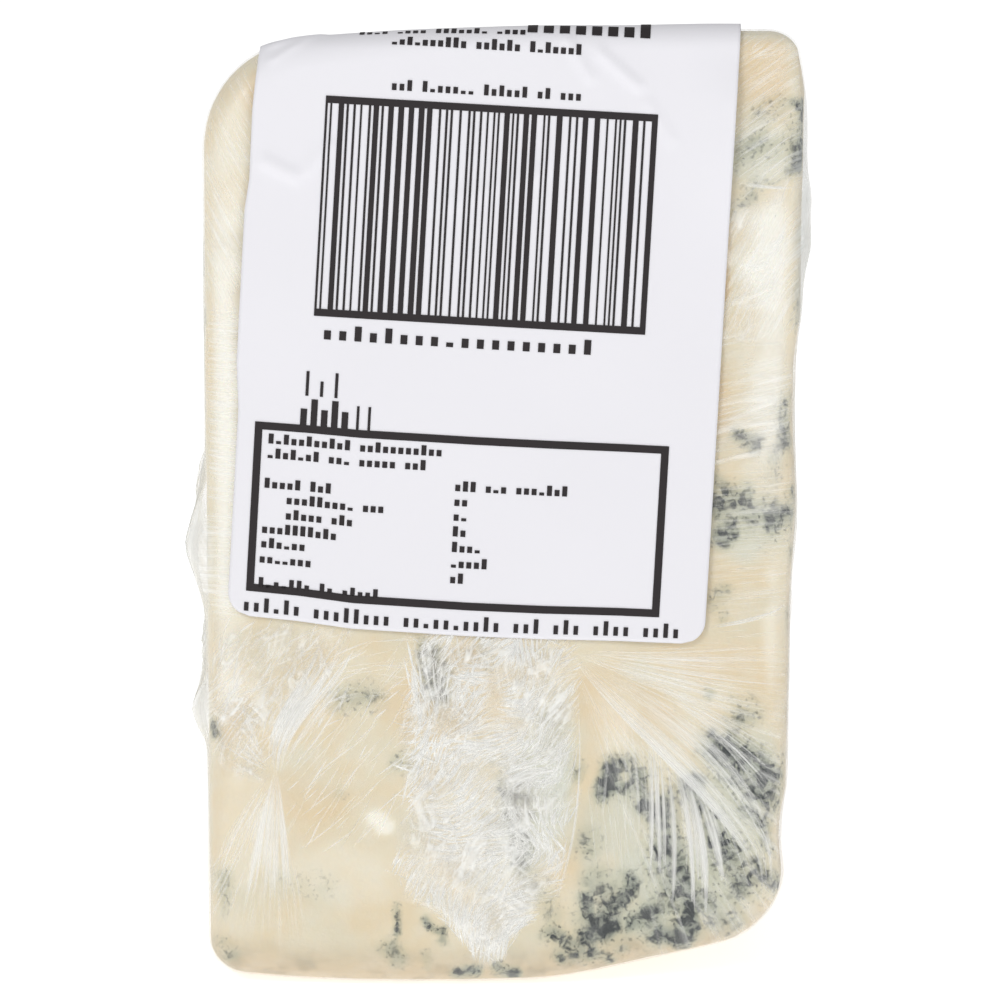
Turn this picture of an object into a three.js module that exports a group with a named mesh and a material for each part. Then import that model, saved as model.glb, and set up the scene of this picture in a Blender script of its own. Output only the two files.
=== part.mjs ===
// A wedge of blue cheese in tight cling film, with a paper label over its tip. Millimetres, +Z up.
// The wedge stands on its rind with its thin tip up. Its label faces -Y and leans back with the cut face.
// The origin is on the flat that the soft rind has taken, below the wheel's centre line.
import * as THREE from "three";
import { mergeVertices } from "three/addons/utils/BufferGeometryUtils.js";

// ---- Driving dimensions ----
const WHEEL_RADIUS = 134; // from the wheel's centre line to its rind
const WEDGE_ANGLE = 26; // degrees between the two cut faces
const SIDE = { left: 37.7, right: 38.3 }; // from the centre to both ends, at the base
const SIDE_LEAN = { left: 0.3, right: 0.85 }; // degrees that the ends lean outwards
const TIP_RADIUS = 2.5; // the blunt tip, where the cut faces would meet
const FLAT_DEPTH = 2.5; // how far the rind has settled flat under the wedge
const EDGE_RADIUS = 4; // long edges between the cut faces and everything round them
const BASE_RADIUS = 1; // round the flat under the rind
const CORNER = { topLeft: 13.5, topRight: 9.5, bottomLeft: 4.5, bottomRight: 8.5 }; // radii of a cut face
const TOP = { clearance: 2.8, tilt: 7.5 }; // the plane over the tip, which falls to the left by tilt degrees
const CROWN = { x: -8, radius: 280 }; // the rind bulges a little along the wheel's centre line
const SHOULDER = { x: 6.5, slope: 12.5 }; // the wheel's shoulder starts at x and narrows it by slope degrees

const LABEL = { width: 62.6, length: 101.6, corner: 3, thickness: 0.4, gap: 0.4 };
const LABEL_FOOT = { x: -3.75, s: 47.5 }; // middle of the label's lower end on the front face
const LABEL_TURN = 3.3; // degrees clockwise, as seen from the front

// Pleats of gathered film on the front face. Each fan spreads from a knot at (x, s), where s is the height
// along the cut face from the rind. Angles are in degrees, anticlockwise from +X.
const FANS = [
  { x: 10.2, s: 43.4, from: -72, to: 4, reach: 40, pleats: 7, height: 1.1 },
  { x: 21, s: 31.5, from: -96, to: -62, reach: 27, pleats: 4, height: 1.2 },
  { x: -28.8, s: 27.8, from: -122, to: -72, reach: 20, pleats: 4, height: 1.2 },
  { x: -28.8, s: 27.8, from: 38, to: 128, reach: 20, pleats: 4, height: 1.3 },
];
const FAN_CLEAR = 4; // no pleats this near a knot, where they are too close together to tell apart
const BUNCH = { x: -1.3, s: 25, halfWidth: 12, halfHeight: 20, height: 1.7 }; // the film's crumpled ends
const BUNCH_GRAIN = 4.2; // spacing of the lumps in the crumpled film
// Loose film that stands off the two ends: side -1 is the left end, +1 the right.
const LOOSE = [
  { side: -1, s: 57, half: 11, height: 2.3 },
  { side: -1, s: 37, half: 5, height: 1.9 },
  { side: 1, s: 105, half: 24, height: 1.9 },
  { side: 1, s: 63, half: 15, height: 0.6 },
  { side: 1, s: 20.5, half: 9, height: -0.9 },
];

// Grid of the wedge's own surface, and of the label's.
const COLUMNS = 36;
const LAYERS = 7;
const ROWS = { toPleatsTop: 20, toCorners: 11, toTip: 8 }; // closest together in the pleats and at the tip
const PLEATS_TOP = 46; // these two are heights above the base
const CORNERS_START = 104;
const LABEL_COLUMNS = 16;
// Rows of the label: at parts of its corner radius, and closest together at the wedge's tip.
const LABEL_ROWS = { corner: [0, 0.13, 0.4, 1], front: 8, nearTip: 4, tip: 8, back: 2 };
const NEAR_TIP = 8; // how far from the tip its rows start to crowd

// ---- Worked out from them ----
const { degToRad, smoothstep, clamp } = THREE.MathUtils;
const half = degToRad(WEDGE_ANGLE / 2);
const sinHalf = Math.sin(half);
const cosHalf = Math.cos(half);
const apexZ = WHEEL_RADIUS - FLAT_DEPTH; // the wheel's centre line
const tipCentreZ = apexZ - TIP_RADIUS / sinHalf;
const tipZ = tipCentreZ + TIP_RADIUS;
const tipStart = WHEEL_RADIUS - TIP_RADIUS / Math.tan(half); // height along the face where the tip turns over
const shoulderSlope = degToRad(SHOULDER.slope);
const labelTurn = degToRad(LABEL_TURN);
const core = new THREE.Vector3(0, 0, 0.36 * tipZ); // a point deep inside the wedge

// ---- The smooth wedge as a field: negative inside, zero on its skin ----

// Two fields joined at a corner of radius r.
function join(a, b, r) {
  return Math.min(-r, Math.max(a, b)) + Math.hypot(Math.max(a + r, 0), Math.max(b + r, 0));
}

// Both cut faces, and the round tip between them.
function cutFaces(y, z) {
  const down = tipCentreZ - z;
  const along = Math.abs(y) * sinHalf + down * cosHalf;
  const out = Math.abs(y) * cosHalf - down * sinHalf;
  return (along < 0 ? Math.hypot(y, down) : out) - TIP_RADIUS;
}

function field({ x, y, z }) {
  const fromRind = Math.hypot(y, apexZ - z) - WHEEL_RADIUS;
  const crown = fromRind + (x - CROWN.x) ** 2 / (2 * CROWN.radius);
  const shoulder = fromRind * Math.cos(shoulderSlope) + (x - SHOULDER.x) * Math.sin(shoulderSlope);
  const bottom = join(join(crown, shoulder, BASE_RADIUS), -z, BASE_RADIUS);
  const left = -x - SIDE.left - z * Math.tan(degToRad(SIDE_LEAN.left));
  const right = x - SIDE.right - z * Math.tan(degToRad(SIDE_LEAN.right));
  const top = z - tipZ - TOP.clearance - x * Math.tan(degToRad(TOP.tilt));
  const corners = z > tipZ / 2 ? CORNER.topRight : CORNER.bottomLeft;
  const outline = join(join(left, top, CORNER.topLeft), join(right, bottom, CORNER.bottomRight), corners);
  return join(outline, cutFaces(y, z), EDGE_RADIUS);
}

function fieldSlope(p) {
  const step = 0.005;
  const along = (axis) => {
    const high = p.clone();
    const low = p.clone();
    high[axis] += step;
    low[axis] -= step;
    return (field(high) - field(low)) / (2 * step);
  };
  return new THREE.Vector3(along("x"), along("y"), along("z"));
}

// Where the ray from the core through p leaves the wedge.
function onSkin(p) {
  const ray = p.clone().sub(core);
  let near = 0;
  let far = 2;
  for (let i = 0; i < 50; i++) {
    const middle = (near + far) / 2;
    if (field(core.clone().addScaledVector(ray, middle)) < 0) near = middle;
    else far = middle;
  }
  return core.clone().addScaledVector(ray, (near + far) / 2);
}

// Height along a cut face from the rind.
function heightAlong(p) {
  return WHEEL_RADIUS - (apexZ - p.z) * cosHalf - Math.abs(p.y) * sinHalf;
}

// ---- Relief of the film, as a height over the smooth wedge ----

const bump = (t) => (Math.abs(t) < 1 ? (1 + Math.cos(Math.PI * t)) / 2 : 0);

function fanRelief(fan, x, s) {
  const reach = Math.hypot(x - fan.x, s - fan.s);
  const angle = THREE.MathUtils.radToDeg(Math.atan2(s - fan.s, x - fan.x));
  const turn = (angle - fan.from) / (fan.to - fan.from);
  if (turn < 0 || turn > 1) return 0;
  const ridge = (1 - Math.cos(2 * Math.PI * fan.pleats * turn)) / 2;
  const fade = smoothstep(reach, 0, FAN_CLEAR) * (1 - smoothstep(reach, 0.6 * fan.reach, fan.reach));
  return fan.height * ridge * fade;
}

function bunchRelief(x, s) {
  const across = (x - BUNCH.x) / BUNCH.halfWidth;
  const up = (s - BUNCH.s) / BUNCH.halfHeight;
  const grain = (2 * Math.PI) / BUNCH_GRAIN;
  const lumps = Math.sin(grain * x + 1.3 * Math.sin(0.5 * grain * s)) * Math.sin(0.8 * grain * s + 0.9);
  return BUNCH.height * bump(Math.hypot(across, up)) ** 0.5 * (0.65 + 0.35 * lumps);
}

// How far a point of the front face is below the label, in its own turned frame: relief stops there.
function belowLabel(x, s) {
  return LABEL_FOOT.s - s - (x - LABEL_FOOT.x) * Math.tan(labelTurn);
}

function frontRelief(x, s) {
  const pleats = Math.max(...FANS.map((fan) => fanRelief(fan, x, s)), bunchRelief(x, s));
  return pleats * smoothstep(belowLabel(x, s), 0.5, 5) * smoothstep(s, 1, 6);
}

function endRelief(side, s) {
  return LOOSE.filter((loose) => loose.side === side).reduce(
    (sum, loose) => sum + loose.height * bump((s - loose.s) / loose.half),
    0,
  );
}

function relief(p, normal) {
  const s = heightAlong(p);
  const front = smoothstep(-normal.y, 0.6, 0.95) * frontRelief(p.x, s);
  const end = smoothstep(Math.abs(normal.x), 0.5, 0.95) * endRelief(Math.sign(normal.x), s);
  return front + end;
}

// ---- Meshes ----

// Numbers after from, up to and including to, evenly spaced.
function spread(from, to, count) {
  return Array.from({ length: count }, (_, i) => from + ((to - from) * (i + 1)) / count);
}

// A closed box of unit cells whose vertices are each moved by place(x, y, z), with the box from -1 to 1.
function shapedBox(segments, place) {
  const box = new THREE.BoxGeometry(2, 2, 2, ...segments);
  box.deleteAttribute("normal");
  box.deleteAttribute("uv");
  const geometry = mergeVertices(box);
  const at = geometry.attributes.position;
  for (let i = 0; i < at.count; i++) at.setXYZ(i, ...place(at.getX(i), at.getY(i), at.getZ(i)));
  geometry.computeVertexNormals();
  return geometry;
}

function wedgeGeometry() {
  const heights = [
    0,
    ...spread(0, PLEATS_TOP, ROWS.toPleatsTop),
    ...spread(PLEATS_TOP, CORNERS_START, ROWS.toCorners),
    ...spread(CORNERS_START, tipZ, ROWS.toTip),
  ];
  return shapedBox([COLUMNS, LAYERS, heights.length - 1], (i, j, k) => {
    const z = heights[Math.round(((k + 1) / 2) * (heights.length - 1))];
    const halfDepth = Math.max(TIP_RADIUS, (apexZ - z) * Math.tan(half));
    const skin = onSkin(new THREE.Vector3(i * SIDE.left, j * halfDepth, z));
    const normal = fieldSlope(skin).normalize();
    return skin.addScaledVector(normal, relief(skin, normal));
  });
}

// The distances up the label, from its lower end, of its grid rows at one distance across it.
function labelStops(across) {
  const { corner, front, nearTip, tip, back } = LABEL_ROWS;
  const toTip = (tipStart - LABEL_FOOT.s + across * Math.sin(labelTurn)) / Math.cos(labelTurn);
  const overIt = toTip + (TIP_RADIUS + LABEL.gap) * (Math.PI - 2 * half);
  const ends = corner.map((part) => part * LABEL.corner);
  const farEnds = ends.map((end) => LABEL.length - end).reverse();
  return [
    ...ends,
    ...spread(LABEL.corner, toTip - NEAR_TIP, front),
    ...spread(toTip - NEAR_TIP, toTip, nearTip),
    ...spread(toTip, overIt, tip),
    ...spread(overIt, overIt + NEAR_TIP, nearTip),
    ...spread(overIt + NEAR_TIP, farEnds[0], back),
    ...farEnds.slice(1),
  ];
}

// A point at distance out over the smooth skin. path runs up the front face from the rind, over the tip
// and down the back. The point starts over an endless tip, and keeps its x as it sinks to the rounded ends.
function overTip(x, path, out) {
  const past = path - tipStart;
  const arcRadius = TIP_RADIUS + LABEL.gap;
  const arc = clamp(past / arcRadius, 0, Math.PI - 2 * half);
  const straight = past < 0 ? past : past - arc * arcRadius;
  const normal = new THREE.Vector3(0, -Math.cos(half + arc), Math.sin(half + arc));
  const onward = new THREE.Vector3(0, Math.sin(half + arc), Math.cos(half + arc));
  const p = new THREE.Vector3(x, 0, tipCentreZ)
    .addScaledVector(normal, TIP_RADIUS + out)
    .addScaledVector(onward, straight);
  for (let i = 0; i < 30; i++) {
    const slope = fieldSlope(p).setX(0);
    p.addScaledVector(slope, (out - field(p)) / slope.lengthSq());
  }
  return p;
}

function labelGeometry() {
  const rows = labelStops(0).length - 1;
  return shapedBox([LABEL_COLUMNS, rows, 1], (i, j, k) => {
    const share = Math.sin((i * Math.PI) / 2); // crowds the columns towards the label's sides
    const up = labelStops((share * LABEL.width) / 2)[Math.round(((j + 1) / 2) * rows)];
    const toEnd = Math.min(up, LABEL.length - up, LABEL.corner);
    const cornerCut = LABEL.corner - Math.sqrt(LABEL.corner ** 2 - (LABEL.corner - toEnd) ** 2);
    const across = share * (LABEL.width / 2 - cornerCut);
    const x = LABEL_FOOT.x + across * Math.cos(labelTurn) + up * Math.sin(labelTurn);
    const path = LABEL_FOOT.s + up * Math.cos(labelTurn) - across * Math.sin(labelTurn);
    return overTip(x, path, LABEL.gap + ((k + 1) / 2) * LABEL.thickness);
  });
}

function named(name, geometry, material) {
  const mesh = new THREE.Mesh(geometry, new THREE.MeshStandardMaterial(material));
  mesh.name = name;
  return mesh;
}

const part = new THREE.Group();
part.add(
  named("wrapped_wedge", wedgeGeometry(), { color: 0xe9dfc4, roughness: 0.25, metalness: 0 }),
  named("label", labelGeometry(), { color: 0xecebf0, roughness: 0.55, metalness: 0 }),
);

export default part;
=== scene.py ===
"""A wedge of blue cheese in clear film with a paper label: what shows of it, its light and its camera.

Sizes are in millimetres until a mesh is made, and in metres from there, in the frame of the CAD model.
On the front face a place is (x, s): s is the height along the cut face from the rind.
On the label a place is (u, v): u runs across it from its middle line, and v up it from its lower end.
"""

import math
from collections import namedtuple
from itertools import product

import bpy
import numpy as np
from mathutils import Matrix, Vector


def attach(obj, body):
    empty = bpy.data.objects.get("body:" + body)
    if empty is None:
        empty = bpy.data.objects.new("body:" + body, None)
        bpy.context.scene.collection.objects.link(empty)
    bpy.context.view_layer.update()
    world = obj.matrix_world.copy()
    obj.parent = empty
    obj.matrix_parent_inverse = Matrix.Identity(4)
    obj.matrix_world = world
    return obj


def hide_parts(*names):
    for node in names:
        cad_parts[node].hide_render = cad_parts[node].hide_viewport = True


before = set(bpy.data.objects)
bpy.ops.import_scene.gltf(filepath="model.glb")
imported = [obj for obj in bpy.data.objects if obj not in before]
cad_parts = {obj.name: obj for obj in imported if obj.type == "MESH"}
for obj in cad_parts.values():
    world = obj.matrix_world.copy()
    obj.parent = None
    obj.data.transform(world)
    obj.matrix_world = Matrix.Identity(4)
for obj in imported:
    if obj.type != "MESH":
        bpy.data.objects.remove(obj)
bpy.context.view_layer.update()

MM = 0.001
SEED = 4
chance = np.random.default_rng(SEED)

# ---- The wedge, as in the CAD model ----
WHEEL_RADIUS = 134
WEDGE_ANGLE = 26
SIDE = {"left": 37.7, "right": 38.3}
SIDE_LEAN = {"left": 0.3, "right": 0.85}
TIP_RADIUS = 2.5
FLAT_DEPTH = 2.5
EDGE_RADIUS = 4
BASE_RADIUS = 1
CORNER = {"top_left": 13.5, "top_right": 9.5, "bottom_left": 4.5, "bottom_right": 8.5}
TOP = {"clearance": 2.8, "tilt": 7.5}
CROWN = {"x": -8, "radius": 280}
SHOULDER = {"x": 6.5, "slope": 12.5}
# Loose folds of the film at the ends, and one hollow: side, middle s, half size along it, height.
LOOSE = [
    (-1, 57, 11, 2.3),
    (-1, 37, 5, 1.9),
    (1, 105, 24, 1.9),
    (1, 63, 15, 0.6),
    (1, 20.5, 9, -0.9),
]

HALF = math.radians(WEDGE_ANGLE / 2)
APEX_Z = WHEEL_RADIUS - FLAT_DEPTH
TIP_CENTRE_Z = APEX_Z - TIP_RADIUS / math.sin(HALF)
TIP_Z = TIP_CENTRE_Z + TIP_RADIUS
TIP_START = WHEEL_RADIUS - TIP_RADIUS / math.tan(HALF)
CORE = np.array([0, 0, 0.36 * TIP_Z])

CHEESE_DEPTH = 0.2  # of the cheese under the CAD model's skin
FILM_LIFT = 0.05  # of the film over it
HALVINGS = 40  # of the search for the skin along a ray
SETTLE_STEPS = 14

# ---- The label ----
LABEL = {"width": 62.6, "length": 101.6, "corner": 3, "thickness": 0.16, "gap": 0.25}
LABEL_FOOT = {"x": -3.75, "s": 47.5}
LABEL_TURN = math.radians(3.3)
PRINT_LIFT = 0.08
# Creases of the paper: from, to, half width and height.
CREASES = [
    ((12, 77), (19.5, 71), 1.3, 0.45),
    ((8, 78.5), (13, 71.5), 1.2, 0.35),
    ((-31, 76), (-22, 79), 1.4, 0.3),
    ((-30, 72), (-24, 78), 1.2, 0.25),
    ((-31, 60), (-24, 57), 1.6, 0.35),
    ((-25, 57.5), (-20.5, 63), 1.4, 0.3),
    ((-8, 54), (8, 61), 2.0, 0.22),
    ((4, 57), (12, 67), 2.4, 0.2),
    ((19, 71), (24, 64), 1.3, 0.2),
]
# The paper's right edge stands off the film.
LIFTED_EDGE = {"u": 22, "from": 50, "to": 66, "gone": (70, 78), "height": 0.9}
# Its lower end sags between the corners, and less and less up to a height v.
SAG = {"u": (-31, -22, -15, 0, 10, 20, 31), "by": (0, 0.4, 1.0, 1.1, 0.95, 0.6, 0.4), "gone": 42}
# Its left edge wanders out between two heights.
LEFT_EDGE = {"v": (27, 33, 53, 57, 66, 72), "out": (0, 0.55, 0.6, 0.2, 0.3, 0)}
SWELL = {"height": 0.2, "cell": 14}  # the paper's slow swell

# ---- Print on the label ----
PRINT_CUT = 0.45  # length of the pieces that let print follow the paper
BARS = {"left": -22.1, "right": 21.2, "low": 39.7, "high": 68.4, "rule": 0.95,
        "widths": (0.25, 0.3, 0.3, 0.7, 0.75), "gaps": (0.33, 0.33, 0.6, 0.85), "room": 2.4}
BOX = {"left": -29.0, "right": 25.2, "low": 3.3, "high": 25.5, "rule": 1.0}
# Plain blocks stand in for the small print: shares of the line's height that they have.
BLOCKS = (1, 1, 0.62, 0.62, 0.62, 0.62, 0.3)
SMALL_BLOCK = (1, 1.3, 0.65)
# Lines of blocks: left end, middle height, number of blocks in each word, and the pitch, height and width
# of a block where it isn't the small one.
LINES = [
    (-14.1, 76.2, (10, 6, 7)),
    (-18.5, 78.3, (4, 4, 7, 4)),
    (3.2, 79.4, (8,), 2.1, 2.7, 1.3),
    (-13.8, 70.3, (3, 7, 6, 2, 3), 1, 1.4, 0.6),
    (-21.2, 37.7, (18,), 2.0, 1.9, 0.9),
    (-23.4, 30.9, (3,), 1.9, 3.2, 0.4),
    (-23.4, 27.2, (5,), 1.35, 3.4, 0.85),
    (-16.4, 27.0, (2,), 1.5, 3.0, 0.35),
    (-27.3, 23.4, (11, 11)),
    (-27.3, 21.5, (7, 3, 5, 3)),
    (-27.5, 17.6, (5, 3)),
    (-24.5, 15.7, (9, 3)),
    (-24.5, 13.7, (5, 3)),
    (-27.5, 11.7, (10,)),
    (-27.5, 9.8, (6,)),
    (-27.6, 7.8, (7,)),
    (-27.6, 4.6, (7, 2, 5), 1, 1.3, 0.6),
    (-2.6, 19.1, (3, 3, 7)),
    (-2.6, 17.2, (2,)),
    (-2.6, 15.3, (2,)),
    (-2.6, 13.3, (2,)),
    (-2.6, 11.3, (4,)),
    (-2.6, 9.3, (5,)),
    (-2.6, 7.3, (2,)),
    (-29.5, 1.6, (6, 8, 10, 3, 3, 4, 4), 1.31, 1.85, 0.6),
]

# ---- Blue veins ----
VEIN_WANDER = 0.7  # how far noise moves them
VEIN_CELL = 2.6  # size of that noise
VEIN_FADE = (1.0, 2.2)  # reach of the blue: at least this, and this many half widths more
# On the hidden faces they are drawn at random: seed, clusters, half width of the face, lowest and highest.
BACK_VEINS = (3, 13, 33, 8, 118)
END_VEINS = (5, 9, 12, 8, 100)
# Those that reach the front face: from (x, s) to (x, s), half width, strength.
VEINS = [
    (14, 9, 25, 9, 3, 0.5), (24, 19, 33, 14, 3.4, 0.5), (22, 24, 24, 13, 1.8, 0.85),
    (28, 22, 33, 14, 2.0, 0.75), (31, 30, 36, 25, 2.2, 0.8), (26, 12, 31, 9, 1.8, 0.6),
    (14, 13, 20, 8, 1.8, 0.55), (20, 28, 24, 24, 1.5, 0.4), (39.5, 116, 39.5, 113.5, 0.7, 0.8),
    (39.5, 111.5, 39.5, 108, 0.7, 0.85), (34.5, 114, 37, 116, 1.1, 0.45),
    (32, 109.5, 34.5, 111.5, 1.2, 0.45), (36, 110, 37.5, 111.5, 0.8, 0.4),
    (34.5, 105.5, 39.5, 107, 0.4, 0.4), (31.5, 102, 33, 104, 0.9, 0.5), (40.5, 100, 39.5, 87.5, 0.7, 0.5),
    (31.5, 72.5, 34, 71.5, 0.5, 0.85), (38, 76.5, 38, 71.5, 0.9, 0.6), (37, 70.5, 36.5, 67, 0.7, 0.45),
    (39, 66, 39, 65, 0.4, 0.6), (33.5, 65.5, 33.5, 64.5, 0.4, 0.5), (29, 64.5, 37.5, 61.5, 2, 0.6),
    (36, 61.5, 39, 62.5, 0.9, 0.7), (30, 59, 31, 60.5, 0.7, 0.7), (35, 59, 38, 58.5, 0.8, 0.3),
    (28.5, 51, 30, 52.5, 0.5, 0.45), (30, 49.5, 30, 48.5, 0.4, 0.4), (39.5, 59, 39.5, 54.5, 0.3, 0.5),
    (39.5, 49.5, 39.5, 47.5, 0.3, 0.5), (28, 39, 28, 39, 0.3, 0.7), (31.5, 33.5, 33, 35.5, 1.5, 0.6),
    (29.5, 31.5, 36, 28, 1.7, 0.92), (36, 28, 37, 27, 1.1, 0.7), (26, 26.5, 27, 23, 1.4, 0.85),
    (33, 23.5, 35.5, 21.5, 0.9, 0.7), (35.5, 20.5, 36.5, 18, 0.8, 0.6), (35, 16, 36.5, 13, 0.9, 0.7),
    (15, 28, 15, 26, 0.8, 0.95), (15, 25.5, 18, 26, 0.7, 0.85), (15.5, 28.5, 17.5, 29.5, 1.1, 0.65),
    (19, 28, 20.5, 23.5, 0.9, 0.8), (11, 29, 11, 28, 0.4, 0.6), (12, 19.5, 12.5, 18.5, 1.1, 0.5),
    (21, 16, 22.5, 13, 1.3, 0.5), (25, 14.5, 25.5, 8, 1.0, 0.87), (26.5, 13, 29, 9.5, 1.5, 0.65),
    (28, 20, 29, 17, 1.2, 0.45), (30.5, 9, 31, 7.5, 0.7, 0.5), (21.5, 7.5, 25, 6, 0.9, 0.98),
    (18, 8, 20.5, 9.5, 0.7, 0.8), (18, 14, 17.5, 12, 0.8, 0.85), (17, 11.5, 12.5, 6.5, 1.3, 0.95),
    (12, 12, 12.5, 9, 0.5, 0.9), (7.5, 7, 11.5, 5, 0.9, 0.75), (12.5, 5, 13, 4, 0.7, 0.7),
    (8.5, 3.5, 9, 3.5, 0.4, 0.6), (14.5, 4, 15, 4, 0.4, 0.6), (16.5, 5, 17.5, 5, 0.5, 0.5),
    (0.5, 2, 3, 1.5, 0.4, 0.8), (2.5, 26.5, 4, 16, 1.1, 0.85), (5.5, 14, 7.5, 10, 1.2, 0.4),
    (-8.5, 44, -7.5, 39, 1.2, 0.95), (-1, 46, -0.5, 43, 0.9, 0.4), (-19.5, 37.5, -16.5, 38, 1.5, 0.45),
    (-12, 29.5, -11, 29.5, 0.9, 0.5), (0.5, 30.5, 1.5, 29.5, 0.8, 0.5), (-27, 14, -23, 13.5, 1.6, 0.25),
    (-12.5, 10.5, -12.8, 7, 0.05, 0.62), (-9, 8.5, -6.5, 7.3, 0.2, 0.8), (-6.3, 7.5, -6.6, 5.5, 0.05, 0.7),
    (-14, 5, -12.5, 3.5, 0.8, 0.45), (-8.5, 3.5, -8.5, 3, 0.4, 0.45), (-5, 2, -2.5, 2, 0.3, 0.85),
    (-37, 34.5, -36.5, 33, 0.4, 0.6), (-36, 15, -35.5, 10.5, 0.7, 0.35), (-36, 5.5, -35, 4, 0.7, 0.42),
    (-20, 26, -20, 25.5, 0.4, 0.35), (-24, 37, -24, 37, 0.8, 0.25),
]

# Soft patches of another tone on the front face: middle (x, s), half sizes, strength.
TONES = {
    # Most pale patches are the cheese's own tone; the long ones down the left edge at x = -37 are painted
    # light on that edge.
    "pale": [
        (-15.5, 22.4, 1.9, 1.5, 0.9), (-14.4, 21.2, 1.6, 1.4, 0.9), (37, 95, 5, 12, 0.95),
        (37.5, 48, 2.5, 8, 0.5), (36, 77, 4.5, 8, 0.6), (-37, 70, 6, 44, 0.92), (-37, 114, 6, 14, 0.4),
        (-34, 20, 5, 9, 0.25), (16, 35, 3.5, 6, 0.3), (-20, 15, 9, 5, 0.25),
    ],
    # Most warm patches are the cheese's own tone; the narrow ones beside the label's right edge at (29.5,
    # 95) and (29, 76) are painted shadow of that edge, and those beside its left edge near the top at
    # (-30.5, 118) and (-28, 113) are painted shadow of film folds.
    "warm_and_painted_shadow": [
        (35.5, 121, 7, 8, 0.7), (29.5, 95, 1.6, 8, 1.0), (29, 76, 2.6, 6, 0.6), (-30.5, 118, 3, 4, 0.8),
        (-28, 113, 1.2, 5, 0.6), (-36, 37, 4, 7, 0.7), (-24, 25, 6, 4, 0.45), (-4, 39, 10, 9, 0.55),
        (9, 16, 2.5, 4, 0.3), (30, 43, 9, 4, 0.4), (17, 37, 8, 6, 0.5),
    ],
    "cool": [
        (23, 13, 12, 8, 0.75), (15, 21, 5, 8, 0.6), (31, 21, 5, 9, 0.6), (35, 31, 5, 5, 0.5),
        (35, 109, 6, 5, 0.6), (33, 61, 6, 5, 0.6), (2, 17, 6, 9, 0.3), (7.5, 27, 5, 12, 0.95),
    ],
}

# ---- Streaks of the stretched film ----
# On the front face they spread from a knot: its (x, s), the angles that they lie between, reach, strength.
STREAK_FANS = [
    ((10, 44), (-76, 9), 60, 0.35),
    ((-28.6, 28), (-128, -76), 24, 0.5),
]
# In zones of the front (-1) and back (1) face they lie side by side: ranges of x and s, angle, strength.
STREAKS = [
    (1, (-50, 50), (-9, 140), 24, 0.2),
    (-1, (-50, 50), (-9, 140), 0, 0.0),
    (-1, (26, 50), (104, 140), 36, 0.45),
    (-1, (26, 50), (84, 104), 62, 0.5),
    (-1, (26, 50), (70, 84), 14, 0.4),
    (-1, (26, 50), (47, 70), 5, 0.3),
    (-1, (-50, -26), (90, 140), -62, 0.4),
    (-1, (-50, -26), (47, 90), -5, 0.5),
    (-1, (-50, -18), (29, 47), 55, 0.6),
]
END_STREAKS = (78, 0.2)  # angle and strength
FAN_RADIUS = 18  # where a fan's streaks are as wide as the others
STREAK_SIZE = (0.42, 9)  # across and along the streaks

# ---- Pleats of the film ----
# A sheaf of pleats lies between two guide curves of points (x, s). In shares of the guides, its pleats
# start before start and end after end. It has ranges of their width and height, and of how much they
# whiten at the ridge, partly the film's haze and partly painted highlight. With more spread they are
# widest nearer to their ends. The greater rare is, the fewer of them whiten much.
Sheaf = namedtuple(
    "Sheaf", "low high count start end width height cover spread rare face", defaults=(0, 2.5, "front")
)
# A patch is scattered with short wrinkles. It has ranges of their x, s, angle (degrees) and length, then
# as above, and they curve by up to drift degrees.
Patch = namedtuple(
    "Patch", "count x s angle length width height cover drift rare face spread", defaults=(2.5, "front", 0)
)
PLEAT_STEPS = 9
PLEAT_LIFT = 0.03  # of a pleat's edges over the film
PLEAT_WANDER = 0.04  # of a pleat across its sheaf, as a share of the sheaf's width
TAPER = {"from": 0.05, "to": 0.95, "power": 0.6}  # of a strip's width along it
EDGE_COVER = 0.15  # how much a strip's edges whiten, as a share of its ridge
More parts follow.
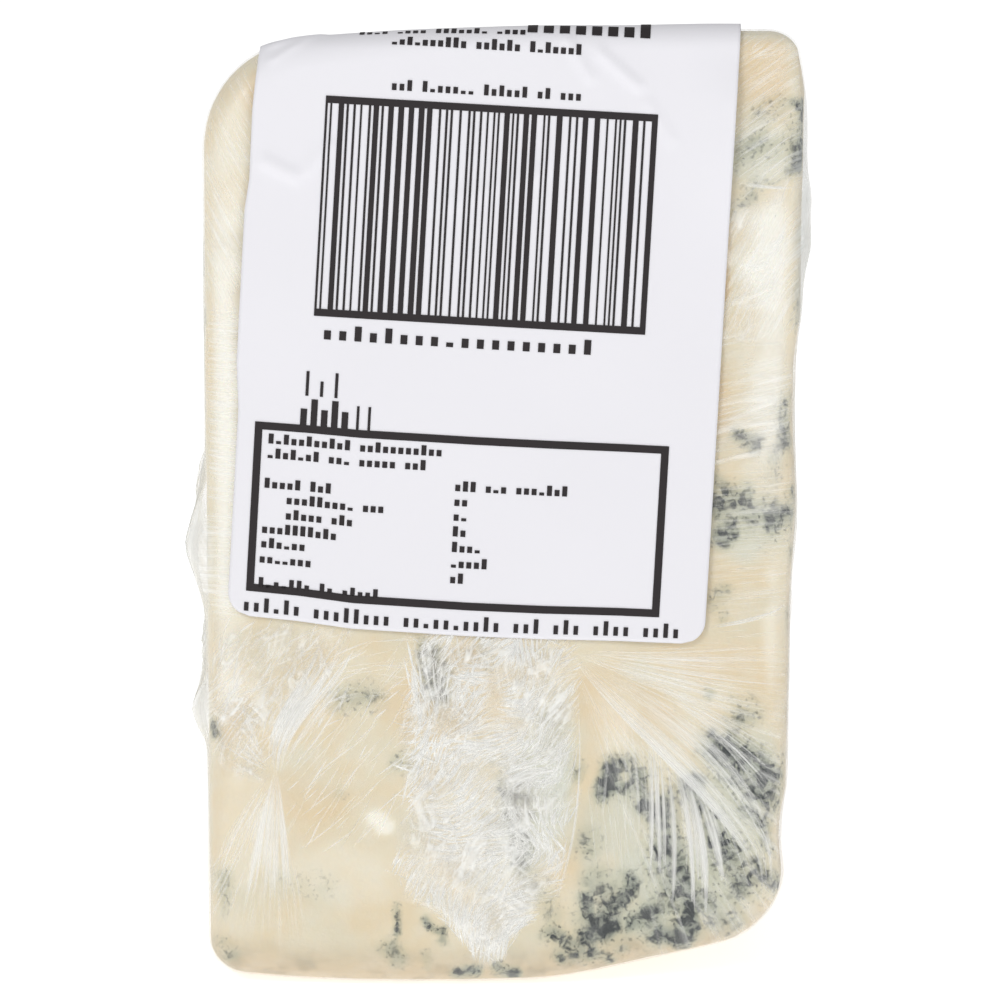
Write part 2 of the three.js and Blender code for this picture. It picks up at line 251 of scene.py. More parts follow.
# Where strips may lie: ranges of x and s, and how far from an end's edges and foot.
FRONT_LIMITS = ((-40, 40), (2, 128))
BACK_LIMITS = ((-38, 38), (3, 99))
END_LIMITS = {"margin": 2, "low": 4}
FAN_FOOT = ((10.5, 43.5), (14, 38), (21, 32), (27, 25.5), (31.5, 19.5), (35.5, 13.5))
SHEAVES = [
    Sheaf(FAN_FOOT, ((11, 43.5), (19, 39.5), (27, 33.5), (33, 27), (36.5, 19.5), (37, 16)),
          70, 0.2, 0.55, (0.15, 0.55), (0.05, 0.3), (0.1, 0.7), 0.7),
    Sheaf(FAN_FOOT, ((10.8, 43.5), (16, 38.4), (23, 32.3), (29, 25.8), (33.5, 19.6), (36.5, 14.5)),
          10, 0.02, 0.85, (0.6, 1.3), (0.3, 0.7), (0.4, 0.75), 0.5, 1.4),
    Sheaf(((20.2, 33.5), (20.6, 22), (20.2, 10.5)), ((27, 26), (30, 18.5), (31, 9.5)),
          14, 0.08, 0.7, (0.45, 1.1), (0.4, 1.0), (0.7, 1.3), 0.2, 1),
    Sheaf(((20, 33), (19.8, 22), (19, 13)), ((29, 25), (32.5, 18), (34.5, 13)),
          40, 0.3, 0.5, (0.12, 0.3), (0.05, 0.25), (0.2, 0.7)),
    Sheaf(((10.5, 44), (24.5, 38), (39.5, 32.5)), ((11.5, 44.5), (25.5, 44.5), (39.5, 46)),
          120, 0.5, 0.5, (0.1, 0.3), (0.03, 0.12), (0.1, 0.5)),
    Sheaf(((24, 37), (31, 31), (37, 21)), ((18, 41.5), (28, 37), (39, 31)),
          60, 0.5, 0.5, (0.1, 0.3), (0.03, 0.15), (0.1, 0.55)),
    Sheaf(((31, 22), (34.5, 17), (35, 11)), ((34, 24), (37, 18), (37, 12)),
          22, 0.4, 0.6, (0.12, 0.35), (0.05, 0.25), (0.15, 0.5)),
    Sheaf(((13.5, 39.5), (14, 30), (12.5, 18)), ((19, 36), (20, 27.5), (20.5, 14)),
          24, 0.6, 0.5, (0.15, 0.5), (0.03, 0.12), (0.1, 0.35)),
    Sheaf(((12, 27.5), (14, 14)), ((20.5, 27.5), (21, 13)),
          40, 0.5, 0.4, (0.1, 0.35), (0.03, 0.12), (0.1, 0.4)),
    Sheaf(((-29, 29), (-34, 22), (-38, 14)), ((-28.5, 29), (-27.5, 20.5), (-26.7, 10.5)),
          70, 0.25, 0.5, (0.15, 0.5), (0.05, 0.3), (0.15, 0.8), 0.7),
    Sheaf(((-28.8, 29), (-31, 21), (-33, 11)), ((-28.5, 29), (-27.5, 20.5), (-26.9, 11)),
          12, 0.05, 0.8, (0.5, 0.9), (0.2, 0.45), (0.4, 0.8), 0.5, 1),
    Sheaf(((-28, 28.5), (-25, 35.5), (-21, 40.5), (-18.5, 45)),
          ((-29.5, 28.5), (-28.5, 35.5), (-25.5, 40.5), (-23, 46)),
          72, 0.3, 0.5, (0.15, 0.5), (0.08, 0.45), (0.3, 0.9)),
    Sheaf(((-29.5, 28.5), (-32.5, 30), (-36.5, 32.5)), ((-29.5, 29.5), (-31.5, 33.5), (-32.5, 38)),
          26, 0.3, 0.5, (0.12, 0.4), (0.05, 0.3), (0.2, 0.6)),
    Sheaf(((10.4, 43.5), (11, 32.5), (11, 25), (10, 18), (8.5, 14), (6, 7)),
          ((10.7, 43.5), (11.2, 32.5), (11.3, 25), (10.4, 18), (9, 14), (6.5, 7)),
          5, 0.6, 0.4, (0.2, 0.4), (0.1, 0.3), (0.3, 0.7)),
    Sheaf(((28, 47.2), (34, 48.2), (40, 50)), ((28, 47.8), (34, 49), (40, 50.8)),
          5, 0.1, 0.6, (0.2, 0.4), (0.1, 0.3), (0.4, 0.7)),
    Sheaf(((31.5, 105.5), (35, 105), (40.5, 105)), ((31.5, 106.5), (35, 105.6), (40.5, 105.4)),
          7, 0.3, 0.7, (0.15, 0.35), (0.1, 0.3), (0.3, 0.8)),
    Sheaf(((33, 121.5), (36, 122.2), (39, 123)), ((33, 122.5), (34, 124), (35.5, 125.5)),
          12, 0.2, 0.6, (0.15, 0.35), (0.05, 0.2), (0.2, 0.6)),
]
PATCHES = [
    Patch(260, (-38.5, -20), (34, 47), (15, 85), (1.5, 6), (0.12, 0.5), (0.05, 0.35), (0.1, 0.8), 25),
    Patch(80, (-36, -26), (29, 37), (30, 110), (1.5, 5), (0.1, 0.4), (0.05, 0.3), (0.1, 0.8), 25),
    Patch(130, (-28, -12), (17, 44), (34, 66), (2, 9), (0.12, 0.32), (0.03, 0.15), (0.2, 0.85), 14),
    Patch(40, (-22, -9), (38, 46), (-14, 14), (3, 8), (0.1, 0.25), (0.03, 0.12), (0.15, 0.6), 8),
    Patch(120, (29, 40), (105, 122), (26, 42), (4, 9), (0.12, 0.5), (0.05, 0.2), (0.1, 0.45), 8),
    Patch(40, (29, 41), (84, 105), (25, 75), (3, 9), (0.1, 0.4), (0.05, 0.3), (0.15, 0.7), 90),
    Patch(60, (29, 41), (84, 105), (15, 75), (3, 8), (0.6, 1.8), (0.2, 0.6), (0.08, 0.35), 120),
    Patch(40, (27, 41), (70, 86), (4, 24), (4, 10), (0.3, 0.9), (0.1, 0.4), (0.05, 0.4), 12),
    Patch(140, (27, 41), (46, 72), (0, 10), (4, 10), (0.08, 0.25), (0.03, 0.12), (0.1, 0.4), 6),
    Patch(90, (-39, -31), (90, 116), (-72, -48), (3, 9), (0.1, 0.25), (0.03, 0.12), (0.15, 0.5), 10),
    Patch(170, (-39.5, -32), (48, 90), (-16, 8), (2, 6), (0.08, 0.22), (0.03, 0.12), (0.15, 0.5), 10),
]
# The same on the back and on both ends, where x and s are y and z.
END_LOOK = ((0.15, 0.7), (0.05, 0.4), (0.1, 0.9), 0.7, 1.6)
HIDDEN_SHEAVES = [
    Sheaf(((-37, 5), (-5, 16), (36, 20)), ((-36, 7), (-12, 50), (10, 98)),
          90, 0.4, 0.3, (0.15, 0.9), (0.03, 0.3), (0.1, 0.9), 0.7, 1.6, "back"),
    Sheaf(((37, 30), (18, 52), (2, 96)), ((37, 34), (30, 60), (26, 97)),
          50, 0.4, 0.3, (0.15, 0.7), (0.03, 0.3), (0.1, 0.9), 0.7, 1.6, "back"),
    Sheaf(((-22, 6), (-4, 30), (3, 96)), ((-24, 8), (-14, 40), (-5, 96)),
          50, 0.4, 0.4, *END_LOOK, "left"),
    Sheaf(((21, 5), (8, 30), (-4, 60)), ((23, 7), (16, 40), (6, 75)),
          36, 0.4, 0.4, *END_LOOK, "left"),
    Sheaf(((-22, 6), (-2, 26), (4, 92)), ((-24, 8), (-13, 40), (-5, 94)),
          50, 0.4, 0.4, *END_LOOK, "right"),
    Sheaf(((21, 6), (6, 30), (-6, 54)), ((23, 8), (15, 42), (4, 80)),
          36, 0.4, 0.4, *END_LOOK, "right"),
]
HIDDEN_PATCHES = [
    Patch(260, (-36, 36), (4, 96), (14, 38), (4, 16), (0.1, 0.8), (0.03, 0.25), (0.08, 0.8),
          14, 1.8, "back"),
    Patch(110, (-17, 17), (10, 62), (60, 100), (3, 10), (0.1, 0.35), (0.03, 0.2), (0.08, 0.5),
          20, 2.5, "left"),
    Patch(110, (-17, 17), (10, 62), (70, 112), (3, 10), (0.1, 0.35), (0.03, 0.2), (0.08, 0.5),
          20, 2.5, "right"),
]

# ---- Crumpled zones of the film ----
# Each has left and right bounds at heights s, two kinds of wrinkles (size across and along them, height),
# the size of the facets that share a direction, how much the film whitens everywhere and at the ridges
# (at the ridges partly painted highlight), the cells of its grid, and the angles that its facets choose
# from.
Zone = namedtuple(
    "Zone", "s left right wrinkles facet cover ridge grid angles", defaults=((20, 50, 70, 85, 110, 145),)
)
CRUMPLE_RIM = 2.2  # over which a zone rises from its bounds
RIDGE_SHARPNESS = 2.6
FACET_BLEND = (0.0, 0.35)  # noise over which a facet's direction takes hold
CRUMPLE_LIFT = 0.02  # of its grid over the film
LABEL_MARGIN = 0.8  # between it and the label's foot
CRUMPLES = [
    Zone((2, 5, 9.5, 11.5, 15.5, 22, 30, 35.5, 39.5, 46.7),
         (-2, -4, -8, -12.5, -14, -12.5, -12.5, -13, -11.5, -10),
         (1, 2, 5, 7, 9.5, 10.2, 10.6, 10.6, 10.6, 10.6),
         ((1.2, 5, 0.4), (0.45, 2.8, 0.2)), 4.6, 0.3, 0.34, (120, 236)),
    Zone((27, 31, 36, 41, 48.5), (-37, -37.5, -38, -38, -38), (-30, -26, -24, -20, -17),
         ((1.4, 6, 0.5), (0.5, 3, 0.18)), 5, 0.13, 0.55, (80, 110)),
    Zone((84, 90, 97, 104), (28, 28.5, 29, 29.5), (38, 38.3, 38.5, 38.5),
         ((2.6, 7, 0.5), (0.9, 5, 0.12)), 7, 0.05, 0.35, (50, 100), (25, 50, 70, 95)),
    Zone((68, 74, 81, 88), (26.8, 27, 27.5, 28), (38.5, 38.5, 38.5, 38.5),
         ((1.7, 12, 0.35), (0.8, 8, 0.12)), 12, 0.03, 0.35, (50, 100), (8, 14, 20)),
]
# Fine wrinkles of the first zone: x is a share of its width, and angle that of the few stray ones.
FIBRES = Patch(5200, (0, 1), (3, 47), (0, 180), (0.8, 5), (0.12, 0.38), (0.03, 0.4), (0.1, 1.5), 9, 1.4)
FIBRE_STEPS = 5
STRAY = 0.1  # share of them
# Angles of the others, which are alike in each facet.
FACET_TURN = {"middle": 62, "reach": 80, "scatter": 7}

# ---- Rounder relief of the film, and its haze ----
BUNCH_LIFT = 0.9  # of the first crumpled zone, where the film is gathered
LEFT_KNOT = {"x": -29, "s": 34, "squash": 0.7, "radius": 11, "lift": 0.9}
PRESSED = (-4, -0.5)  # heights above the label's foot over which it presses the relief flat
CHEESE_FILL = 0.75  # how far at most the cheese fills a loose fold
CHEESE_LUMPS = {"height": 0.08, "cell": 5}
HAZE = {
    "all": 0.05, "crumpled": 0.1, "raised": 0.12, "left": 0.33, "right": 0.3, "loose": 0.06,
    "loose_front": 0.31,
}
# The hazy strips beside the label: where the haze grows, and over which s it loses that share.
LEFT_STRIP = {"x": (31, 37), "s": (44, 52), "gone": (98, 110), "share": 0.75}
RIGHT_STRIP = {"x": (30, 36), "s": (56, 74), "gone": (100, 108), "share": 1}
RIND_BAND = {"strength": 0.95, "depth": (0.8, 6.5)}  # of the rind's tone, up from the underside
RIND_END = 0.8  # its strength on the right end

# ---- Grids and colours ----
# Cells of the grids of the cheese, the film and the paper: along x, y and z, or across, through and along.
CHEESE_GRID = (140, 36, 215)
FILM_GRID = (150, 40, 228)
PAPER_GRID = (120, 1, 240)


def srgb(red, green, blue):
    """Linear colour from one given in 0 to 255."""
    return tuple(((c / 255 + 0.055) / 1.055) ** 2.4 for c in (red, green, blue)) + (1,)


CREAM = srgb(227, 217, 191)
CREAM_WARM = srgb(226, 210, 177)
CREAM_COOL = srgb(220, 215, 193)
RIND = srgb(200, 182, 152)
RIND_DARK = srgb(160, 146, 120)
TAN_AND_PAINTED_SHADOW = srgb(224, 198, 155)
PALE_AND_PAINTED_LIGHT = srgb(251, 247, 232)
MILKY = srgb(206, 209, 193)
VEIN_EDGE = srgb(166, 170, 144)
VEIN_HALO = srgb(124, 132, 126)
VEIN = srgb(34, 42, 45)
FILM_WHITE = srgb(247, 247, 243)
# Grey of the loose film on the right end: painted reflection of darker surroundings.
FILM_PAINTED_REFLECTION_GREY = srgb(205, 208, 205)
# Painted shade in the valleys of crumpled film.
FILM_PAINTED_SHADE = srgb(150, 136, 110)
PAPER = srgb(238, 237, 242)
INK = srgb(30, 22, 25)


# ---- The wedge's skin as a field of points (n, 3): negative inside ----


def join(a, b, radius):
    """Two fields joined at a corner of that radius."""
    outside = np.hypot(np.maximum(a + radius, 0), np.maximum(b + radius, 0))
    return np.minimum(-radius, np.maximum(a, b)) + outside


def cut_faces(y, z):
    """Field of both cut faces and the rounded tip between them."""
    down = TIP_CENTRE_Z - z
    along = np.abs(y) * math.sin(HALF) + down * math.cos(HALF)
    out = np.abs(y) * math.cos(HALF) - down * math.sin(HALF)
    return np.where(along < 0, np.hypot(y, down), out) - TIP_RADIUS


def ends(p):
    """Fields of the wedge's left and right ends."""
    x, z = p[:, 0], p[:, 2]
    left = -x - SIDE["left"] - z * math.tan(math.radians(SIDE_LEAN["left"]))
    right = x - SIDE["right"] - z * math.tan(math.radians(SIDE_LEAN["right"]))
    return left, right


def underside(p):
    """Field of the rind, its shoulder and the flat under it."""
    x, y, z = p.T
    from_rind = np.hypot(y, APEX_Z - z) - WHEEL_RADIUS
    slope = math.radians(SHOULDER["slope"])
    crown = from_rind + (x - CROWN["x"]) ** 2 / (2 * CROWN["radius"])
    shoulder = from_rind * math.cos(slope) + (x - SHOULDER["x"]) * math.sin(slope)
    return join(join(crown, shoulder, BASE_RADIUS), -z, BASE_RADIUS)


def field(p):
    x, y, z = p.T
    left, right = ends(p)
    top = z - TIP_Z - TOP["clearance"] - x * math.tan(math.radians(TOP["tilt"]))
    corners = np.where(z > TIP_Z / 2, CORNER["top_right"], CORNER["bottom_left"])
    left_and_top = join(left, top, CORNER["top_left"])
    outline = join(left_and_top, join(right, underside(p), CORNER["bottom_right"]), corners)
    return join(outline, cut_faces(y, z), EDGE_RADIUS)


def field_slope(p):
    step = 0.005
    sides = [field(p + step * axis) - field(p - step * axis) for axis in np.eye(3)]
    return np.stack(sides, axis=1) / (2 * step)


def on_skin(p, lift):
    """Where rays from the core through p meet the skin at that lift."""
    near, far = np.zeros(len(p)), np.full(len(p), 2.0)
    ray = p - CORE
    for _ in range(HALVINGS):
        middle = (near + far) / 2
        inside = field(CORE + ray * middle[:, None]) < lift
        near, far = np.where(inside, middle, near), np.where(inside, far, middle)
    return CORE + ray * near[:, None]


def settle(p, lift, keep_x=False):
    """p moved along the field's slope to that lift."""
    for _ in range(SETTLE_STEPS):
        slope = field_slope(p)
        if keep_x:
            slope[:, 0] = 0
        p = p + slope * ((lift - field(p)) / np.sum(slope**2, axis=1))[:, None]
    return p


def unit(v):
    return v / np.linalg.norm(v, axis=1, keepdims=True)


def height_along(p):
    """How far up the cut faces points are, from the rind."""
    return WHEEL_RADIUS - (APEX_Z - p[:, 2]) * math.cos(HALF) - np.abs(p[:, 1]) * math.sin(HALF)


# ---- Noise and other shapes of numbers ----


def smooth(value, low, high):
    t = np.clip((value - low) / (high - low), 0, 1)
    return t * t * (3 - 2 * t)


HASH = np.array([73856093, 19349663, 83492791])


def noise(p, cell, seed):
    """Smooth noise from -1 to 1, with one random value a cell."""
    q = p / cell
    base = np.floor(q).astype(np.int64)
    blend = q - base
    blend = blend * blend * (3 - 2 * blend)
    total = np.zeros(len(p))
    for corner in product((0, 1), repeat=3):
        key = (base + corner) @ HASH + seed * 7919
        key = (key ^ (key >> 13)) * 1274126177 & 0x7FFFFFFF
        value = ((key ^ (key >> 16)) & 0xFFFF) / 32767.5 - 1
        total += value * np.prod(np.where(corner, blend, 1 - blend), axis=1)
    return total


def inset(a, b, a_range, b_range):
    """How far inside a rectangle places are."""
    across = np.minimum(a - a_range[0], a_range[1] - a)
    return np.minimum(across, np.minimum(b - b_range[0], b_range[1] - b))


def bump(t):
    """A round bump that is 1 at 0, and 0 from 1 outwards."""
    return np.where(np.abs(t) < 1, (1 + np.cos(np.pi * np.clip(t, -1, 1))) / 2, 0)


def near_stroke(a, b, start, end):
    """For places (a, b): the nearest share of a stroke's length, and how far from it they are."""
    run = np.subtract(end, start)
    t = np.clip(((a - start[0]) * run[0] + (b - start[1]) * run[1]) / max(run @ run, 1e-6), 0, 1)
    return t, np.hypot(a - start[0] - t * run[0], b - start[1] - t * run[1])


def crumple_bounds(s, zone=CRUMPLES[0]):
    """The left and right bounds of a crumpled zone at heights s."""
    return np.interp(s, zone.s, zone.left), np.interp(s, zone.s, zone.right)


def crumple_share(x, s):
    """How far inside the first crumpled zone places are, from 0 to 1."""
    return smooth(inset(x, s, crumple_bounds(s), (CRUMPLES[0].s[0], 50)), 0, 3)


def flat_place(a, b):
    """Two distances as points that noise can take."""
    return np.stack([a, b, np.zeros(len(a))], axis=1)


def above_label_foot(x, s):
    """How far above the label's lower end a place on the front face is."""
    return s - LABEL_FOOT["s"] + (x - LABEL_FOOT["x"]) * math.tan(LABEL_TURN)


def film_relief(p, normal):
    """Height of the film over the smooth skin, without its fine pleats."""
    x, s = p[:, 0], height_along(p)
    place = flat_place(x, s)
    lumps = 0.55 + 0.45 * noise(place, 2.3, 1) + 0.25 * noise(place, 1.1, 2)
    bunch = BUNCH_LIFT * crumple_share(x, s) * lumps
    knot_away = np.hypot(x - LEFT_KNOT["x"], (s - LEFT_KNOT["s"]) * LEFT_KNOT["squash"])
    left_knot = LEFT_KNOT["lift"] * bump(knot_away / LEFT_KNOT["radius"])
    left_knot = left_knot * (0.6 + 0.4 * noise(place, 1.8, 3))
    front = front_share(normal) * (bunch + left_knot) * (1 - smooth(above_label_foot(x, s), *PRESSED))
    at_ends = np.zeros(len(p))
    for side, middle, half, height in LOOSE:
        drape = (s - middle) / half + 0.25 * noise(flat_place(p[:, 1], s), 9, 4)
        at_ends += smooth(normal[:, 0] * side, 0.5, 0.95) * height * bump(drape)
    return (front + at_ends * (1 + 0.3 * noise(p, 5, 5))) * smooth(s, 0.5, 5)


def front_share(normal):
    """How much normals look to the front, from 0 to 1."""
    return smooth(-normal[:, 1], 0.6, 0.95)


def on_film(p, lift):
    """Points moved onto the film, and then by lift."""
    p = settle(p, 0)
    normal = unit(field_slope(p))
    return p + normal * (film_relief(p, normal) + FILM_LIFT + lift)[:, None]


def front_point(x, s):
    """Points of the front face's plane, which goes on past its rounded edges."""
    down = WHEEL_RADIUS - s
    return np.stack([x, -down * math.sin(HALF), APEX_Z - down * math.cos(HALF)], axis=1)


# Each face of the wedge takes two distances: along and up it.
FACES = {
    "front": front_point,
    "back": lambda x, s: front_point(x, s) * np.array([1, -1, 1]),
    "left": lambda y, z: np.stack([np.full(len(y), -SIDE["left"] - 1.0), y, z], axis=1),
    "right": lambda y, z: np.stack([np.full(len(y), SIDE["right"] + 1.0), y, z], axis=1),
}


# ---- Meshes ----


def quads(ids, flip=False):
    """The faces of grids of points, from the points' numbers."""
    corners = [ids[..., :-1, :-1], ids[..., 1:, :-1], ids[..., 1:, 1:], ids[..., :-1, 1:]]
    if flip:
        corners.reverse()
    return np.stack(corners, axis=-1).reshape(-1, 4)


def box_grid(columns, layers, rows):
    """Places (i, j, k) from 0 to 1 on a box's surface, and its faces."""
    i, j, k = np.meshgrid(np.arange(columns + 1), np.arange(layers + 1), np.arange(rows + 1), indexing="ij")
    at_side = (i % columns == 0) | (j % layers == 0) | (k % rows == 0)
    ids = np.full(at_side.shape, -1)
    ids[at_side] = np.arange(at_side.sum())
    places = np.stack([i / columns, j / layers, k / rows], axis=-1)[at_side]
    faces = np.concatenate([
        quads(ids[-1]), quads(ids[0], True),
        quads(ids[:, 0]), quads(ids[:, -1], True),
        quads(ids[:, :, -1]), quads(ids[:, :, 0], True),
    ])
    return places, faces


def wedge_surface(grid, lift):
    """A closed grid over the wedge's smooth skin, and the skin's normals."""
    places, faces = box_grid(*grid)
    z = places[:, 2] * TIP_Z
    half_depth = np.maximum(TIP_RADIUS, (APEX_Z - z) * math.tan(HALF))
    p = np.stack([(places[:, 0] * 2 - 1) * SIDE["left"], (places[:, 1] * 2 - 1) * half_depth, z], axis=1)
    p = on_skin(p, lift)
    return p, unit(field_slope(p)), faces


def added(name, data):
    """A new object of the scene."""
    made = bpy.data.objects.new(name, data)
    bpy.context.scene.collection.objects.link(made)
    return made


def piece(name, points, faces, material, values=None):
    """A smooth mesh of the object with values kept at its points."""
    mesh = bpy.data.meshes.new(name)
    mesh.from_pydata((points * MM).tolist(), [], faces.tolist())
    mesh.materials.append(material)
    mesh.shade_smooth()
    for key, numbers in (values or {}).items():
        layer = mesh.attributes.new(key, "FLOAT", "POINT")
        layer.data.foreach_set("value", np.ascontiguousarray(numbers, dtype=np.float32))
    return added(name, mesh)


# ---- Materials ----


class Graph:
    """A material's nodes. Inputs are other nodes' outputs or plain values."""

    def __init__(self, name):
        self.material = bpy.data.materials.new(name)
        self.material.use_nodes = True
        self.tree = self.material.node_tree
        self.tree.nodes.clear()

    def put(self, socket, value):
        if isinstance(value, bpy.types.NodeSocket):
            self.tree.links.new(value, socket)
        else:
            socket.default_value = value

    def node(self, kind, inputs=None, **settings):
        made = self.tree.nodes.new("ShaderNode" + kind)
        for key, value in settings.items():
            setattr(made, key, value)
        for key, value in (inputs or {}).items():
            self.put(made.inputs[key], value)
        return made

    def math(self, operation, *values):
        made = self.node("Math", operation=operation)
        for socket, value in zip(made.inputs, values):
            self.put(socket, value)
        return made.outputs[0]

    def plus(self, a, b):
        return self.math("ADD", a, b)

    def times(self, a, b):
        return self.math("MULTIPLY", a, b)

    def value(self, name):
        return self.node("Attribute", attribute_name=name).outputs["Fac"]

    def place(self):
        return self.node("TexCoord").outputs["Object"]

    def noise(self, cell_mm, detail, bent=0.0):
        """Noise from 0 to 1 with cells of that size, drawn into threads where it is bent."""
        inputs = {"Vector": self.place(), "Scale": 1 / (cell_mm * MM), "Detail": detail}
        return self.node("TexNoise", {**inputs, "Distortion": bent}).outputs["Fac"]

    def span(self, value, low, high, to_low=0.0, to_high=1.0):
        inputs = {"Value": value, "From Min": low, "From Max": high, "To Min": to_low, "To Max": to_high}
        return self.node("MapRange", inputs).outputs["Result"]

    def mix(self, share, a, b):
        made = self.node("Mix", data_type="RGBA")
        for index, value in ((0, share), (6, a), (7, b)):
            self.put(made.inputs[index], value)
        return made.outputs[2]

    def finish(self, shader):
        self.put(self.node("OutputMaterial").inputs["Surface"], shader)
        return self.material


def cheese_material():
    g = Graph("blue cheese")
    mottle = g.noise(7, 3)
    base = g.mix(g.span(mottle, 0.38, 0.62), CREAM_WARM, CREAM)
    base = g.mix(g.span(g.noise(9, 2), 0.5, 0.8), base, CREAM_COOL)
    rind = g.mix(g.span(g.noise(3, 5), 0.45, 0.75), RIND, RIND_DARK)
    base = g.mix(g.value("rind"), base, rind)
    # The warm tone also carries painted shadow beside the label, and the pale one painted light down the
    # left edge.
    for name, colour in (("cool", MILKY), ("warm_and_painted_shadow", TAN_AND_PAINTED_SHADOW), ("pale", PALE_AND_PAINTED_LIGHT)):
        base = g.mix(g.value(name), base, colour)
    # A soft halo, with dark threads and specks in it.
    smoke = g.span(g.noise(4, 9, bent=0.5), 0.3, 0.7, -0.35, 0.35)
    ragged = g.plus(g.value("vein"), smoke)
    soft = g.plus(g.value("vein"), g.times(smoke, 0.5))
    halo = g.times(g.span(soft, 0.05, 0.85), g.span(g.value("vein"), 0.0, 0.3))
    threads = g.span(g.noise(1.1, 10, bent=0.7), 0.35, 0.65, -0.45, 0.45)
    fine = g.plus(ragged, threads)
    core = g.times(g.span(fine, 0.52, 1.0), g.span(g.value("vein"), 0.2, 0.6))
    specks = g.times(g.span(g.noise(0.6, 8), 0.56, 0.68), g.span(g.value("vein"), 0.08, 0.5))
    base = g.mix(g.times(halo, 0.75), base, VEIN_EDGE)
    base = g.mix(g.times(g.span(halo, 0.45, 1.0), 0.7), base, VEIN_HALO)
    base = g.mix(g.math("MAXIMUM", core, g.times(specks, 0.8)), base, VEIN)
    grain = g.node("Bump", {"Height": g.noise(0.7, 3), "Strength": 0.2, "Distance": 0.0002})
    shader = g.node("BsdfPrincipled", {
        "Base Color": base,
        "Roughness": 0.45,
        "Subsurface Weight": 0.15,
        "Subsurface Radius": (0.004, 0.003, 0.0018),
        "Subsurface Scale": 0.4,
        "Normal": grain.outputs[0],
    })
    return g.finish(shader.outputs[0])


def kept_cover(g):
    """The whitening kept at a mesh's points."""
    return g.value("cover")


def film_material(name, roughness, cover=kept_cover, normal=None, colour=None):
    """Clear film, which shows white by cover(g), and more at a slant."""
    g = Graph(name)
    tint = colour(g) if colour else FILM_WHITE
    white = g.node("BsdfPrincipled", {"Base Color": tint, "Roughness": roughness})
    if normal:
        g.put(white.inputs["Normal"], normal(g))
    slant = g.node("LayerWeight", {"Blend": 0.25}).outputs["Facing"]
    share = g.math("MINIMUM", g.plus(g.times(slant, 0.3), cover(g)), 1.0)
    clear = g.node("BsdfTransparent")
    return g.finish(g.node("MixShader", {0: share, 1: clear.outputs[0], 2: white.outputs[0]}).outputs[0])


def streak_noise(g):
    """Noise drawn out along the streaks of the stretched film."""
    place = g.node("CombineXYZ", {"X": g.value("across"), "Y": g.value("along")})
    return g.node("TexNoise", {"Vector": place.outputs[0], "Scale": 1.0, "Detail": 4.0}).outputs["Fac"]


def film_cover(g):
    """Haze with streaks and clouds in it."""
    streaks = g.times(g.span(streak_noise(g), 0.46, 0.74), g.value("streak"))
    clouds = g.times(g.span(g.noise(2.4, 4), 0.45, 0.75), 0.1)
    return g.plus(g.value("haze"), g.plus(streaks, clouds))


# Loose film on the right end is painted grey: a painted reflection of darker surroundings.
def film_colour_with_painted_reflection(g):
    return g.mix(g.value("loose"), FILM_WHITE, FILM_PAINTED_REFLECTION_GREY)


# Painted shade in the valleys of crumpled film.
def painted_valley_shade_colour(g):
    return g.mix(g.value("painted_valley_shade"), FILM_WHITE, FILM_PAINTED_SHADE)


def film_normal(g):
    height = g.times(streak_noise(g), g.value("streak"))
    return g.node("Bump", {"Height": height, "Strength": 0.6, "Distance": 0.0003}).outputs[0]


def plain_material(name, colour, roughness):
    g = Graph(name)
    return g.finish(g.node("BsdfPrincipled", {"Base Color": colour, "Roughness": roughness}).outputs[0])


# ---- Cheese and film ----


def vein_strength(x, s, strokes):
    """How blue a face is, with veins along those strokes."""
    place = flat_place(x, s)
    x = x + VEIN_WANDER * noise(place, VEIN_CELL, 11)
    s = s + VEIN_WANDER * noise(place, VEIN_CELL, 13)
    least, more = VEIN_FADE
    strength = np.zeros(len(x))
    for x0, s0, x1, s1, half_width, most in strokes:
        _, away = near_stroke(x, s, (x0, s0), (x1, s1))
        strength = np.maximum(strength, most * (1 - smooth(away, 0, least + more * half_width)))
    return strength


def hidden_veins(seed, clusters, width, low, high):
    """Strokes of veins in clusters that are spread over a face."""
    draw = np.random.default_rng(seed)
    strokes = []
    for middle_s in np.linspace(low, high, clusters):
        middle_x, slant = draw.uniform(-width, width), draw.uniform(0, math.pi)
        for _ in range(draw.integers(2, 7)):
            x, s = middle_x + draw.normal(0, 3.5), middle_s + draw.normal(0, 3.5)
            angle, length = slant + draw.normal(0, 0.5), draw.uniform(0.5, 5)
            end = x + length * math.cos(angle), s + length * math.sin(angle)
            strokes.append((x, s, *end, draw.uniform(0.2, 1.8), draw.uniform(0.35, 0.95)))
    return strokes


def veins_everywhere(p, normal):
    """How blue the front, the back and the left end are. The right end is rind."""
    x, s = p[:, 0], height_along(p)
    front = smooth(-normal[:, 1], 0.05, 0.35)
    back = smooth(normal[:, 1], 0.1, 0.6)
    left = smooth(-normal[:, 0], 0.7, 0.97) * (1 - front)
    blue = front * vein_strength(x, s, VEINS)
    blue = blue + back * vein_strength(x, s, hidden_veins(*BACK_VEINS))
    return blue + left * vein_strength(p[:, 1], p[:, 2], hidden_veins(*END_VEINS))


def tone_share(p, patches):
    """How far the places are inside soft patches of the front face."""
    uneven = 0.35 * noise(p, 3, 32)
    share = np.zeros(len(p))
    for x, s, half_x, half_s, strength in patches:
        away = np.hypot((p[:, 0] - x) / half_x, (height_along(p) - s) / half_s) + uneven
        share = np.maximum(share, strength * (1 - smooth(away, 0.45, 1.15)))
    return share


